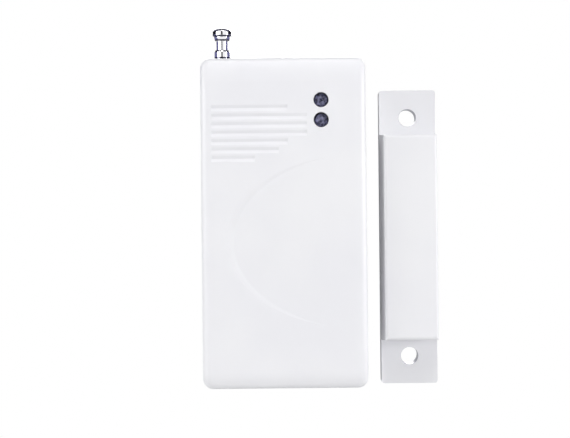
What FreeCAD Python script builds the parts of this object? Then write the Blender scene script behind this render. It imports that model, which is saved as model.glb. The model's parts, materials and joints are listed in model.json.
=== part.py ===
import FreeCAD, Part
import math
import os
import re

import Sketcher
from FreeCAD import Placement, Rotation, Vector

# A wireless magnetic door contact: a transmitter with a telescopic rod aerial, and its magnet.
# The frame is the one it is used in: X to the right, Z up along the aerial, and the wall is the
# plane y = 0, so the faces look along -Y. The origin is the centre of the transmitter's back.
# All sizes are in millimetres. A "depth" is a distance from the wall towards the front.

SIZES = {
    # moulded case of the transmitter
    "wall": 1.5,
    "face_wall": 1.8,
    "floor_wall": 1.8,
    "lip_wall": 0.7,
    "lip_height": 1.2,
    "fit_gap": 0.1,
    "case_height": 70.0,
    "corner_radius": 2.2,
    "face_edge_radius": 1.7,
    "back_edge": 0.6,
    "top_roll_reach": 5.1,
    "top_roll_radius": 10.5,
    "bottom_roll_reach": 3.4,
    "bottom_roll_radius": 6.3,
    "pry_notch_width": 7.0,
    "pry_notch_height": 0.9,
    "snap_length": 6.0,
    "snap_height": 0.3,
    # grooves and crescent hollow in the face
    "groove_start": 15.2,
    "groove_top": 10.7,
    "groove_pitch": 1.78,
    "groove_width": 1.3,
    "groove_floor": 0.1,
    "groove_cut": 0.2,
    "groove_long": 20.2,
    "groove_middle": 16.1,
    "groove_short": 14.2,
    "groove_last": 9.1,
    "hollow_cut": 0.24,
    "hollow_slope": 1.3,
    "hollow_across": 18.4,
    "hollow_below": 4.0,
    "hollow_reach": 29.1,
    "hollow_rise": 18.7,
    "hollow_fade": 20.0,
    # lamps
    "lamp_across": 8.0,
    "lamp_top": 9.1,
    "lamp_pitch": 4.2,
    "lamp_diameter": 3.0,
    "lamp_hole_gap": 0.1,
    "lamp_length": 5.3,
    "lamp_recess": 0.3,
    "lamp_flange_diameter": 3.8,
    "lamp_flange_height": 1.0,
    "lead_size": 0.5,
    "lead_pitch": 2.54,
    "lead_hole_gap": 0.1,
    "lead_tail": 0.9,
    # circuit board, its bosses and screws
    "board_thickness": 1.2,
    "board_gap": 0.3,
    "boss_height": 2.2,
    "boss_width": 4.0,
    "screw_diameter": 1.9,
    "screw_length": 4.0,
    "screw_gap": 0.05,
    "screw_head_diameter": 3.6,
    "screw_head_height": 1.3,
    "low_screw_across": 3.6,
    "low_screw_inset": 2.6,
    "high_screw_across": 7.6,
    "high_screw_inset": 2.9,
    "wall_screw_hole": 3.5,
    "wall_screw_inset": 5.0,
    "wall_screw_head_room": 7.0,
    # battery and its contacts
    "battery_diameter": 10.3,
    "battery_length": 28.5,
    "battery_nub_diameter": 5.6,
    "battery_nub_length": 1.4,
    "battery_gap": 0.35,
    "front_room": 1.25,
    "cradle_thickness": 1.2,
    "cradle_across": 7.0,
    "cradle_height": 3.2,
    "plate_thickness": 0.4,
    "plate_width": 9.0,
    "plate_height": 9.6,
    "arm_width": 1.6,
    "tab_width": 1.1,
    "tab_reach": 2.1,
    "spring_length": 2.5,
    "spring_wire": 0.5,
    "spring_turns": 2.5,
    "spring_wide_radius": 4.0,
    "spring_narrow_radius": 2.4,
    # reed switch
    "reed_diameter": 2.2,
    "reed_glass_length": 14.0,
    "reed_glass_wall": 0.3,
    "reed_seal_length": 1.5,
    "reed_lift": 0.35,
    "reed_inset": 1.9,
    "reed_level": 2.0,
    "reed_wire": 0.5,
    "reed_wire_reach": 2.4,
    "reed_blade_width": 0.9,
    "reed_blade_thickness": 0.2,
    "reed_blade_overlap": 1.2,
    "reed_blade_gap": 0.12,
    # telescopic aerial
    "base_tube_diameter": 3.4,
    "middle_tube_diameter": 2.5,
    "tip_rod_diameter": 1.6,
    "tube_wall": 0.2,
    "running_gap": 0.05,
    "aerial_hole_gap": 0.1,
    "aerial_side_gap": 0.45,
    "aerial_board_gap": 0.1,
    "base_tube_rise": 1.95,
    "shoulder_height": 0.4,
    "middle_tube_rise": 1.95,
    "tube_foot_level": 8.8,
    "grip_length": 4.0,
    "collar_height": 0.8,
    "knob_diameter": 4.1,
    "knob_height": 3.0,
    "knob_cone_diameter": 3.5,
    "knob_cone_height": 1.1,
    "knob_edge_height": 0.8,
    "knob_top_diameter": 2.3,
    "bracket_thickness": 0.6,
    "bracket_foot_length": 6.0,
    "bracket_width": 4.4,
    "slide_stop_thickness": 0.5,
    # parts on the board
    "chip_across": -4.6,
    "chip_rise": 10.8,
    "chip_width": 7.5,
    "chip_length": 10.3,
    "chip_height": 2.3,
    "chip_stand": 0.15,
    "chip_leg_count": 8,
    "chip_leg_pitch": 1.27,
    "chip_leg_width": 0.4,
    "chip_leg_thickness": 0.25,
    "chip_leg_reach": 1.4,
    "code_across": 5.4,
    "code_rise": 13.6,
    "code_pin_count": 5,
    "code_pin_pitch": 2.54,
    "code_pin_size": 0.64,
    "code_pin_height": 6.0,
    "code_base_height": 2.5,
    "code_cap_height": 4.8,
    "can_across": -3.4,
    "can_drop": 17.0,
    "can_diameter": 8.8,
    "can_height": 3.3,
    "transistor_across": 7.4,
    "transistor_drop": 20.5,
    "transistor_diameter": 4.6,
    "transistor_height": 4.6,
    "transistor_leg_length": 1.8,
    "capacitor_across": -7.0,
    "capacitor_drop": 27.5,
    "capacitor_diameter": 5.0,
    "capacitor_height": 7.0,
    "coil_across": 3.8,
    "coil_drop": 27.0,
    "coil_wire": 0.6,
    "coil_radius": 1.7,
    "coil_pitch": 1.4,
    "coil_turns": 3,
    "chip_part_length": 2.0,
    "chip_part_width": 1.25,
    "chip_part_height": 0.55,
    "chip_part_gap": 1.4,
    "chip_part_pitch": 3.2,
    # magnet half
    "magnet_gap": 3.4,
    "magnet_drop": 3.3,
    "magnet_width": 12.2,
    "magnet_length": 63.8,
    "magnet_depth": 12.0,
    "flange_depth": 4.0,
    "flange_corner_radius": 0.6,
    "magnet_body_length": 44.6,
    "magnet_draft": 3.0,
    "magnet_edge_radius": 0.7,
    "magnet_hole": 3.8,
    "magnet_hole_pitch": 51.8,
    "bar_width": 8.0,
    "bar_length": 38.0,
    "bar_depth": 8.5,
    "bar_gap": 0.1,
    "back_plate_thickness": 1.0,
    "back_plate_margin": 1.2,
}

# Places worked out from the sizes. The battery, its spring and its two plates set how wide the
# case is, and the battery's diameter sets how deep it is.
PLACES = {
    "half_width": "wall + fit_gap + plate_thickness + (battery_length + spring_length) / 2",
    "half_height": "case_height / 2",
    "case_width": "2 * half_width",
    "rim": "wall + fit_gap + lip_wall",
    "rim_half_width": "half_width - rim",
    "rim_half_height": "half_height - rim",
    "lip_half_width": "half_width - wall - fit_gap",
    "lip_half_height": "half_height - wall - fit_gap",
    "board_back": "floor_wall + boss_height",
    "board_front": "board_back + board_thickness",
    "seam_depth": "board_front + aerial_board_gap + base_tube_diameter / 2",
    "battery_depth": "floor_wall + battery_gap + battery_diameter / 2",
    "battery_level": "-(rim_half_height - battery_gap - battery_diameter / 2)",
    "case_depth": "floor_wall + battery_gap + battery_diameter + front_room + face_wall",
    "ceiling_depth": "case_depth - face_wall",
    "board_low": "battery_level + battery_diameter / 2 + 4 * board_gap",
    "board_high": "rim_half_height - board_gap",
    "board_half_width": "rim_half_width - board_gap",
    "lamp_upper_level": "half_height - lamp_top",
    "lamp_lower_level": "lamp_upper_level - lamp_pitch",
    "lamp_base_depth": "case_depth - lamp_recess - lamp_length",
    "lead_tip_depth": "board_back - lead_tail",
    "wall_screw_level": "half_height - wall_screw_inset",
    "plate_inner": "half_width - wall - fit_gap - plate_thickness",
    "reed_across": "board_half_width - reed_inset",
    "reed_depth": "board_front + reed_lift + reed_diameter / 2",
    "reed_low": "reed_level - reed_glass_length / 2",
    "reed_high": "reed_level + reed_glass_length / 2",
    "base_radius": "base_tube_diameter / 2",
    "middle_radius": "middle_tube_diameter / 2",
    "tip_radius": "tip_rod_diameter / 2",
    "aerial_across": "-(rim_half_width - aerial_side_gap - base_radius)",
    "tube_foot": "board_low + tube_foot_level",
    "base_top": "half_height + base_tube_rise + shoulder_height",
    "middle_top": "base_top + middle_tube_rise",
    "low_screw_level": "board_low + low_screw_inset",
    "high_screw_level": "board_high - high_screw_inset",
    "aerial_screw_level": "tube_foot - bracket_thickness - bracket_foot_length / 2",
    "aerial_screw_across": "-(board_half_width - bracket_width / 2)",
    "chip_level": "board_low + chip_rise",
    "code_level": "board_low + code_rise",
    "can_level": "half_height - can_drop",
    "transistor_level": "half_height - transistor_drop",
    "capacitor_level": "half_height - capacitor_drop",
    "coil_level": "half_height - coil_drop",
    "magnet_across": "half_width + magnet_gap + magnet_width / 2",
}

WORD = re.compile(r"[a-z_]+")
GROOVE_LENGTHS = ("groove_middle", *["groove_long"] * 3, "groove_middle", "groove_short", "groove_last")
DOME_ANGLES = (0, 50)
RUNS_PER_TURN = 8
WIRE_SIDES = 6
UPRIGHT = Rotation()
TO_FRONT = Rotation(Vector(1, 0, 0), 90)
TO_RIGHT = Rotation(Vector(0, 1, 0), 90)

document = FreeCAD.newDocument("door_contact")
sheet = document.addObject("Spreadsheet::Sheet", "Sizes")
for row, (name, value) in enumerate(SIZES.items(), start=1):
    sheet.set(f"A{row}", name.replace("_", " "))
    sheet.set(f"B{row}", str(value))
    sheet.setAlias(f"B{row}", name)
document.recompute()


def formula(text):
    """Spells out the places in a formula until only sizes are left, and names the sheet for each."""
    spelled = WORD.sub(lambda word: f"({PLACES[word[0]]})" if word[0] in PLACES else word[0], text)
    if spelled != text:
        return formula(spelled)
    return WORD.sub(lambda word: f"Sizes.{word[0]}" if word[0] in SIZES else word[0], text)


def number(text):
    return float(sheet.evalExpression(formula(text)))


def bind(item, path, text):
    item.setExpression(path, formula(text))


# Sketches


def new_body(label, place=None, turn=UPRIGHT):
    """A body of its own. place is three formulas, for a piece that is drawn round its own axis."""
    body = document.addObject("PartDesign::Body", label)
    body.Label = label
    if place:
        body.Placement = Placement(Vector(*[number(part) for part in place]), turn)
        for axis, part in zip("xyz", place):
            bind(body, f"Placement.Base.{axis}", part)
    return body


def datum(body, role):
    return next(item for item in body.Origin.OriginFeatures if item.Role == role)


def new_sketch(body, plane, offset="0"):
    """A sketch on one of the body's own planes. On XZ the offset is a depth, towards the front."""
    sketch = body.newObject("Sketcher::SketchObject", "Sketch")
    sketch.AttachmentSupport = [(datum(body, f"{plane}_Plane"), "")]
    sketch.MapMode = "FlatFace"
    bind(sketch, "AttachmentOffset.Base.z", offset)
    return sketch


def set_place(sketch, kind, edge, end, text):
    """Holds one coordinate of a point of the sketch at a formula."""
    index = sketch.addConstraint(Sketcher.Constraint(kind, -1, 1, edge, end, number(text)))
    bind(sketch, f"Constraints[{index}]", text)


def set_point(sketch, edge, end, point):
    for kind, text in zip(("DistanceX", "DistanceY"), point):
        if not text.startswith("~"):
            set_place(sketch, kind, edge, end, text)


def draw(sketch, points, arcs=None, closed=True):
    """Draws an outline through points given as pairs of formulas.

    arcs gives, for the number of the point that an arc leaves, its centre and its turn, 1 for
    anticlockwise. A coordinate that starts with ~ is only a first guess: the arc settles it.
    """
    arcs = arcs or {}
    places = [Vector(*[number(text.lstrip("~")) for text in point], 0) for point in points]
    edges = []
    for index, start in enumerate(places if closed else places[:-1]):
        end = places[(index + 1) % len(places)]
        if index not in arcs:
            edge = sketch.addGeometry(Part.LineSegment(start, end), False)
            edges.append((edge, 1, 2))
            continue
        *centre, turn = arcs[index]
        middle = Vector(*[number(text) for text in centre], 0)
        first, last = (start, end) if turn > 0 else (end, start)
        angles = [math.atan2(spot.y - middle.y, spot.x - middle.x) for spot in (first, last)]
        if angles[1] <= angles[0]:
            angles[1] += 2 * math.pi
        circle = Part.Circle(middle, Vector(0, 0, 1), middle.distanceToPoint(start))
        edge = sketch.addGeometry(Part.ArcOfCircle(circle, *angles), False)
        edges.append((edge, 1, 2) if turn > 0 else (edge, 2, 1))
        set_point(sketch, edge, 3, centre)
    for index, (edge, start, end) in enumerate(edges):
        set_point(sketch, edge, start, points[index])
        if not closed and index == len(edges) - 1:
            set_point(sketch, edge, end, points[-1])
            continue
        next_edge, next_start, _ = edges[(index + 1) % len(edges)]
        sketch.addConstraint(Sketcher.Constraint("Coincident", edge, end, next_edge, next_start))


def draw_box(sketch, low_x, high_x, low_y, high_y):
    draw(sketch, [(low_x, low_y), (high_x, low_y), (high_x, high_y), (low_x, high_y)])


def square(x, y, half):
    """Sides of a square round a point, for draw_box."""
    return (f"{x} - {half}", f"{x} + {half}", f"{y} - {half}", f"{y} + {half}")


def draw_circle(sketch, x, y, radius):
    circle = Part.Circle(Vector(number(x), number(y), 0), Vector(0, 0, 1), number(radius))
    edge = sketch.addGeometry(circle, False)
    set_point(sketch, edge, 3, (x, y))
    index = sketch.addConstraint(Sketcher.Constraint("Radius", edge, number(radius)))
    bind(sketch, f"Constraints[{index}]", radius)


def draw_ellipse(sketch, x, y, half_width, half_height):
    middle = Vector(number(x), number(y), 0)
    right = middle + Vector(number(half_width), 0, 0)
    top = middle + Vector(0, number(half_height), 0)
    ellipse = sketch.addGeometry(Part.Ellipse(right, top, middle), False)
    sketch.exposeInternalGeometry(ellipse)
    set_point(sketch, ellipse, 3, (x, y))
    sketch.addConstraint(Sketcher.Constraint("Horizontal", ellipse + 1))
    for axis, length in ((ellipse + 1, half_width), (ellipse + 2, half_height)):
        whole = f"2 * ({length})"
        index = sketch.addConstraint(Sketcher.Constraint("Distance", axis, number(whole)))
        bind(sketch, f"Constraints[{index}]", whole)


def draw_rounded_box(sketch, low_x, high_x, low_y, high_y, radius):
    """A rectangle with four equal corner arcs, each tangent to its two sides."""
    left, right, low, high, bend = (number(text) for text in (low_x, high_x, low_y, high_y, radius))
    corners = [(right - bend, low + bend), (right - bend, high - bend)]
    corners += [(left + bend, high - bend), (left + bend, low + bend)]
    sides = [
        ((left + bend, low), (right - bend, low)),
        ((right, low + bend), (right, high - bend)),
        ((right - bend, high), (left + bend, high)),
        ((left, high - bend), (left, low + bend)),
    ]
    edges = []
    for turn, (side, corner) in enumerate(zip(sides, corners)):
        start, end = (Vector(*spot, 0) for spot in side)
        edges.append(sketch.addGeometry(Part.LineSegment(start, end), False))
        circle = Part.Circle(Vector(*corner, 0), Vector(0, 0, 1), bend)
        angle = (turn - 1) * math.pi / 2
        arc = Part.ArcOfCircle(circle, angle, angle + math.pi / 2)
        edges.append(sketch.addGeometry(arc, False))
    for index, edge in enumerate(edges):
        following = edges[(index + 1) % len(edges)]
        sketch.addConstraint(Sketcher.Constraint("Tangent", edge, 2, following, 1))
    for kind, side in (("Horizontal", 0), ("Vertical", 2), ("Horizontal", 4), ("Vertical", 6)):
        sketch.addConstraint(Sketcher.Constraint(kind, edges[side]))
    set_place(sketch, "DistanceY", edges[0], 1, low_y)
    set_place(sketch, "DistanceX", edges[2], 1, high_x)
    set_place(sketch, "DistanceY", edges[4], 1, high_y)
    set_place(sketch, "DistanceX", edges[6], 1, low_x)
    index = sketch.addConstraint(Sketcher.Constraint("Radius", edges[1], bend))
    bind(sketch, f"Constraints[{index}]", radius)
    for side in (3, 5, 7):
        sketch.addConstraint(Sketcher.Constraint("Equal", edges[1], edges[side]))


# Features


def add_feature(body, kind, sketch, formulas, settings):
    """Adds a feature and makes sure that it changed the body's volume."""
    before = body.Shape.Volume if body.Shape.Solids else 0.0
    item = body.newObject(f"PartDesign::{kind}", kind)
    if sketch:
        item.Profile = sketch
    for path, text in formulas.items():
        bind(item, path, text)
    for name, value in settings.items():
        setattr(item, name, value)
    body.Tip = item
    document.recompute()
    if abs(item.Shape.Volume - before) < 1e-6:
        raise RuntimeError(f"a {kind} of {body.Label} changed nothing")
    return item


def pad(body, sketch, length, **settings):
    return add_feature(body, "Pad", sketch, {"Length": length}, settings)


def pocket(body, sketch, length, **settings):
    return add_feature(body, "Pocket", sketch, {"Length": length}, settings)


def pattern(body, feature, axis, length, count):
    """Repeats a feature along one of the body's own axes, over a whole length."""
    settings = {"Originals": [feature], "Direction": (datum(body, f"{axis}_Axis"), [""])}
    formulas = {"Length": length, "Occurrences": count}
    return add_feature(body, "LinearPattern", None, formulas, settings)


def mirror(body, feature, plane):
    settings = {"Originals": [feature], "MirrorPlane": (datum(body, f"{plane}_Plane"), [""])}
    return add_feature(body, "Mirrored", None, {}, settings)


def edges_at(body, test):
    """Names of the edges whose middle point and direction pass the test."""
    names = []
    for index, edge in enumerate(body.Shape.Edges, start=1):
        middle = edge.valueAt((edge.FirstParameter + edge.LastParameter) / 2)
        run = edge.Vertexes[-1].Point - edge.Vertexes[0].Point
        if test(middle, run):
            names.append(f"Edge{index}")
    return names


def fillet(body, test, radius):
    settings = {"Base": (body.Tip, edges_at(body, test))}
    return add_feature(body, "Fillet", None, {"Radius": radius}, settings)


def chamfer(body, test, width):
    settings = {"Base": (body.Tip, edges_at(body, test))}
    return add_feature(body, "Chamfer", None, {"Size": width}, settings)


def turned(label, outline, place, turn=UPRIGHT):
    """A piece turned round its own Z axis, from an outline of radius and height."""
    body = new_body(label, place, turn)
    sketch = new_sketch(body, "XZ")
    draw(sketch, outline)
    add_feature(body, "Revolution", sketch, {}, {"ReferenceAxis": (sketch, ["V_Axis"])})
    return body


def on_front_outline(middle, run):
    """True for the edges round the case's outline, seen from the front."""
    radius = number("corner_radius")
    beside = abs(middle.x) - (number("half_width") - radius)
    above = abs(middle.z) - (number("half_height") - radius)
    if beside > 0 and above > 0:
        reach = math.hypot(beside, above)
    else:
        reach = max(beside, above)
    return abs(reach - radius) < 1e-3 and math.hypot(run.x, run.z) > 1e-3


# The transmitter's case


def draw_case_outline(sketch):
    sides = ("-half_width", "half_width", "-half_height", "half_height")
    draw_rounded_box(sketch, *sides, "corner_radius")


def roll_start(end):
    """Level where the face starts to roll off towards its top or bottom end."""
    return f"half_height - {end}_roll_reach"


def roll_off(body):
    """Cuts the face down towards both ends, each along an arc tangent to the flat."""
    sketch = new_sketch(body, "YZ")
    for sign, end in (("", "top"), ("-", "bottom")):
        start = f"{sign}({roll_start(end)})"
        beyond = f"{sign}(half_height + wall)"
        centre = f"{end}_roll_radius - case_depth"
        drop = f"{end}_roll_radius - sqrt({end}_roll_radius ^ 2 - ({end}_roll_reach + wall) ^ 2)"
        corner = "-(case_depth + wall)"
        points = [("-case_depth", start), (f"~{drop} - case_depth", beyond)]
        points += [(corner, beyond), (corner, start)]
        draw(sketch, points, {0: (centre, start, 1 if sign else -1)})
    pocket(body, sketch, "case_width + 2 * wall", SideType="Symmetric")


def hollow_out(body):
    """Cuts the inside, with a ceiling that follows the face at an even thickness."""
    sketch = new_sketch(body, "YZ")
    points = []
    arcs = {}
    for sign, end in (("-", "bottom"), ("", "top")):
        start = f"{sign}({roll_start(end)})"
        last = f"{sign}(half_height - wall)"
        radius = f"({end}_roll_radius - face_wall)"
        reach = f"({end}_roll_reach - wall)"
        lowered = f"~{radius} - sqrt({radius} ^ 2 - {reach} ^ 2) - ceiling_depth"
        bend = [(lowered, last), ("-ceiling_depth", start)]
        centre = (f"{end}_roll_radius - case_depth", start)
        if end == "bottom":
            points += [("wall - seam_depth", last), *bend]
            arcs[1] = (*centre, -1)
        else:
            points += [*reversed(bend), ("wall - seam_depth", last)]
            arcs[3] = (*centre, -1)
    draw(sketch, points, arcs)
    pocket(body, sketch, "2 * (half_width - wall)", SideType="Symmetric")


def cut_grooves(body):
    """Shallow grooves whose sides slope to a narrow floor. Those of one length are cut together."""
    floor_depth, beyond = "groove_cut - case_depth", "-(case_depth + wall)"
    for length in dict.fromkeys(GROOVE_LENGTHS):
        sketch = new_sketch(body, "YZ", "-groove_start")
        for row, row_length in enumerate(GROOVE_LENGTHS):
            if row_length != length:
                continue
            level = f"half_height - groove_top - {row} * groove_pitch"
            side = [(floor_depth, "groove_floor"), ("-case_depth", "groove_width"), (beyond, "groove_width")]
            points = [(depth, f"{level} + {width} / 2") for depth, width in side]
            points += [(depth, f"{level} - {width} / 2") for depth, width in reversed(side)]
            draw(sketch, points)
        pocket(body, sketch, length, Reversed=True)


def cut_crescent(body):
    """A shallow hollow with a sloped elliptical edge, whose floor climbs back to the face.

    The floor is a plane that leans about an upright axis: it lies hollow_cut under the face at
    the tip of the ellipse, and meets the face hollow_fade further right.
    """
    lean = "atan(hollow_cut / hollow_fade)"
    tip = "hollow_across - hollow_reach"
    height = "2 * hollow_cut"
    sections = []
    for rise, spread in (("0", "0"), (height, f"({height}) * hollow_slope / hollow_cut")):
        sketch = new_sketch(body, "XZ", f"case_depth - hollow_cut + ({rise})")
        sketch.AttachmentOffset = Placement(Vector(), Rotation(Vector(0, 1, 0), 1))
        bind(sketch, "AttachmentOffset.Base.z", f"case_depth - hollow_cut + ({rise})")
        bind(sketch, "AttachmentOffset.Base.x", tip)
        bind(sketch, "AttachmentOffset.Rotation.Angle", f"-{lean}")
        radii = (f"hollow_reach + {spread}", f"hollow_rise + {spread}")
        draw_ellipse(sketch, "hollow_reach", "-hollow_below", *radii)
        sections.append(sketch)
    settings = {"Sections": sections[1:], "Ruled": True}
    add_feature(body, "SubtractiveLoft", sections[0], {}, settings)


def make_front_cover():
    body = new_body("front_cover")
    sketch = new_sketch(body, "XZ", "seam_depth")
    draw_case_outline(sketch)
    pad(body, sketch, "case_depth - seam_depth")
    roll_off(body)
    half_way = -number("seam_depth + case_depth") / 2
    fillet(
        body,
        lambda middle, run: middle.y < half_way and on_front_outline(middle, run),
        "face_edge_radius",
    )
    hollow_out(body)
    cut_grooves(body)
    cut_crescent(body)

    sketch = new_sketch(body, "XZ", "case_depth")
    for level in ("lamp_upper_level", "lamp_lower_level"):
        draw_circle(sketch, "lamp_across", level, "lamp_diameter / 2 + lamp_hole_gap")
    pocket(body, sketch, "face_wall + wall")

    sketch = new_sketch(body, "XY", "half_height + wall")
    draw_circle(sketch, "aerial_across", "-seam_depth", "base_radius + aerial_hole_gap")
    pocket(body, sketch, "3 * wall")

    sketch = new_sketch(body, "XZ", "seam_depth")
    sides = ("-pry_notch_width / 2", "pry_notch_width / 2")
    draw_box(sketch, *sides, "-half_height - wall", "-half_height + wall + fit_gap / 2")
    pocket(body, sketch, "pry_notch_height", Reversed=True)

    sketch = new_sketch(body, "YZ")
    middle = "-(seam_depth + lip_height / 2)"
    reach = "(snap_height / 2 + fit_gap)"
    ends = ("-snap_length / 2 - fit_gap", "snap_length / 2 + fit_gap")
    draw_box(sketch, f"{middle} - {reach}", f"{middle} + {reach}", *ends)
    pocket(body, sketch, "2 * (half_width - wall + snap_height)", SideType="Symmetric")
    return body


def make_back_cover():
    body = new_body("back_cover")
    sketch = new_sketch(body, "XZ")
    draw_case_outline(sketch)
    pad(body, sketch, "seam_depth")
    chamfer(body, lambda middle, run: middle.y > -1e-3 and on_front_outline(middle, run), "back_edge")

    sketch = new_sketch(body, "XZ", "seam_depth")
    draw_box(sketch, "-rim_half_width", "rim_half_width", "-rim_half_height", "rim_half_height")
    pocket(body, sketch, "seam_depth - floor_wall")

    sketch = new_sketch(body, "XZ", "seam_depth")
    draw_box(sketch, "-lip_half_width", "lip_half_width", "-lip_half_height", "lip_half_height")
    draw_box(sketch, "-rim_half_width", "rim_half_width", "-rim_half_height", "rim_half_height")
    pad(body, sketch, "lip_height")

    # slots in which the battery plates stand
    sketch = new_sketch(body, "YZ")
    beyond = "-(seam_depth + 2 * lip_height)"
    ends = ("battery_level - plate_width / 2 - fit_gap", "board_low + tab_width + 3 * fit_gap")
    draw_box(sketch, beyond, "-floor_wall", *ends)
    pocket(body, sketch, "2 * lip_half_width", SideType="Symmetric")

    # half of the aerial's hole, open through the lip
    sketch = new_sketch(body, "XY", "half_height + wall")
    left = "aerial_across - base_radius - aerial_hole_gap"
    right = "aerial_across + base_radius + aerial_hole_gap"
    points = [(left, beyond), (right, beyond), (right, "-seam_depth"), (f"~{left}", "-seam_depth")]
    draw(sketch, points, {2: ("aerial_across", "-seam_depth", 1)})
    pocket(body, sketch, "2 * wall + rim")

    sketch = new_sketch(body, "XZ", "floor_wall")
    for place in SCREW_PLACES:
        draw_box(sketch, *square(*place, "boss_width / 2"))
    pad(body, sketch, "boss_height")
    sketch = new_sketch(body, "XZ", "board_back")
    for place in SCREW_PLACES:
        draw_circle(sketch, *place, "screw_diameter / 2 + screw_gap")
    pocket(body, sketch, "boss_height + floor_wall / 2")

    add_cradle(body)
    add_snaps(body)

    sketch = new_sketch(body, "XZ", "floor_wall")
    for level in ("wall_screw_level", "battery_level"):
        draw_circle(sketch, "0", level, "wall_screw_hole / 2")
    pocket(body, sketch, "2 * floor_wall")
    return body


def add_cradle(body):
    """Two ribs under the battery, hollowed to its curve."""
    sketch = new_sketch(body, "YZ", "cradle_across - cradle_thickness / 2")
    top = "-(floor_wall + cradle_height)"
    radius = "(battery_diameter / 2 + fit_gap)"
    reach = f"sqrt({radius} ^ 2 - (battery_depth - floor_wall - cradle_height) ^ 2)"
    upper = "board_low - board_gap"
    points = [
        ("-floor_wall", "-rim_half_height"),
        ("-floor_wall", upper),
        (top, upper),
        (top, f"battery_level + {reach}"),
        (top, f"~battery_level - {reach}"),
        (top, "-rim_half_height"),
    ]
    draw(sketch, points, {3: ("-battery_depth", "battery_level", -1)})
    rib = pad(body, sketch, "cradle_thickness")
    mirror(body, rib, "YZ")


def add_snaps(body):
    """Low ridges on the outside of the lip, which click into the front cover."""
    sketch = new_sketch(body, "YZ", "lip_half_width")
    middle = "-(seam_depth + lip_height / 2)"
    low, high = f"{middle} - snap_height / 2", f"{middle} + snap_height / 2"
    draw_box(sketch, low, high, "-snap_length / 2", "snap_length / 2")
    ridge = pad(body, sketch, "snap_height")
    mirror(body, ridge, "YZ")


# Circuit board and screws


def make_board():
    body = new_body("circuit_board")
    sketch = new_sketch(body, "XZ", "board_back")
    notch = "wall_screw_head_room / 2"
    notch_level = f"wall_screw_level - {notch}"
    points = [
        ("-board_half_width", "board_low"),
        ("board_half_width", "board_low"),
        ("board_half_width", "board_high"),
        (notch, "board_high"),
        (notch, notch_level),
        (f"-{notch}", notch_level),
        (f"-{notch}", "board_high"),
        ("-board_half_width", "board_high"),
    ]
    draw(sketch, points)
    pad(body, sketch, "board_thickness")

    sketch = new_sketch(body, "XZ", "board_front")
    for place in SCREW_PLACES:
        draw_circle(sketch, *place, "screw_diameter / 2 + fit_gap")
    for across, level in LEAD_PLACES:
        half = "(lead_size / 2 + lead_hole_gap)"
        draw_box(sketch, *square(across, level, half))
    pocket(body, sketch, "2 * board_thickness")
    return body


def make_screws():
    """Three slotted screws: two hold the board, and the third holds the aerial's bracket too."""
    seats = ["board_front", "board_front", "board_front + bracket_thickness"]
    screws = []
    for (across, level), seat in zip(SCREW_PLACES, seats):
        shank, head = "screw_diameter / 2", "screw_head_diameter / 2"
        outline = [
            ("0", "-screw_length"),
            (shank, "-screw_length"),
            (shank, "0"),
            (head, "0"),
            (head, "screw_head_height"),
            ("0", "screw_head_height"),
        ]
        screw = turned("screw", outline, place=(across, f"-({seat})", level), turn=TO_FRONT)
        sketch = new_sketch(screw, "XY", "screw_head_height")
        slot, half = "screw_head_height / 5", "screw_head_diameter / 3"
        draw_box(sketch, f"-{half}", half, f"-{slot}", slot)
        pocket(screw, sketch, "screw_head_height / 2")
        screws.append(screw)
    return group("board_screws", screws)


# Battery and its contacts


def make_battery():
    radius, nub = "battery_diameter / 2", "battery_nub_diameter / 2"
    shoulder = "battery_length - battery_nub_length"
    outline = [
        ("0", "0"),
        (radius, "0"),
        (radius, shoulder),
        (nub, shoulder),
        (nub, "battery_length"),
        ("0", "battery_length"),
    ]
    place = ("plate_inner - battery_length", "-battery_depth", "battery_level")
    return turned("battery", outline, place=place, turn=TO_RIGHT)


def make_plate(label, side):
    """A sheet contact that stands in its slot, with an arm up to a tab on the board."""
    body = new_body(label)
    inner, outer = f"{side} * plate_inner", f"{side} * (plate_inner + plate_thickness)"
    sketch = new_sketch(body, "YZ", inner if side > 0 else outer)
    low, high = "battery_level - plate_width / 2", "battery_level + plate_width / 2"
    back, front = "-floor_wall", "-(floor_wall + plate_height)"
    arm_back, arm_front = "-board_front", "-(board_front + arm_width)"
    top = "board_low + fit_gap + tab_width"
    points = [(back, low), (back, high), (arm_back, high), (arm_back, top)]
    points += [(arm_front, top), (arm_front, high), (front, high), (front, low)]
    draw(sketch, points)
    pad(body, sketch, "plate_thickness")

    sketch = new_sketch(body, "XZ", "board_front")
    ends = [f"{side} * (plate_inner - tab_reach)", outer]
    draw_box(sketch, *(ends if side > 0 else reversed(ends)), "board_low + fit_gap", top)
    pad(body, sketch, "plate_thickness")
    return body


def wound_wire(radius, pitch, turns, wire_radius, narrowing=0.0):
    """A wire wound along Z from z = 0, as a shape: short runs between six-sided sections."""
    runs = round(turns * RUNS_PER_TURN)
    climb = math.atan2(pitch, 2 * math.pi * radius)
    sections = []
    for step in range(runs + 1):
        turn = 2 * math.pi * turns * step / runs
        reach = radius - narrowing * step / runs
        out = Vector(math.cos(turn), math.sin(turn), 0)
        along = Vector(-math.sin(turn) * math.cos(climb), math.cos(turn) * math.cos(climb), math.sin(climb))
        across = along.cross(out)
        middle = out * reach + Vector(0, 0, pitch * turn / (2 * math.pi))
        corners = []
        for corner in range(WIRE_SIDES):
            angle = 2 * math.pi * (corner + 0.5) / WIRE_SIDES
            corners.append(middle + (out * math.cos(angle) + across * math.sin(angle)) * wire_radius)
        sections.append(Part.makePolygon([*corners, corners[0]]))
    return Part.makeLoft(sections, True, True)


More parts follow.
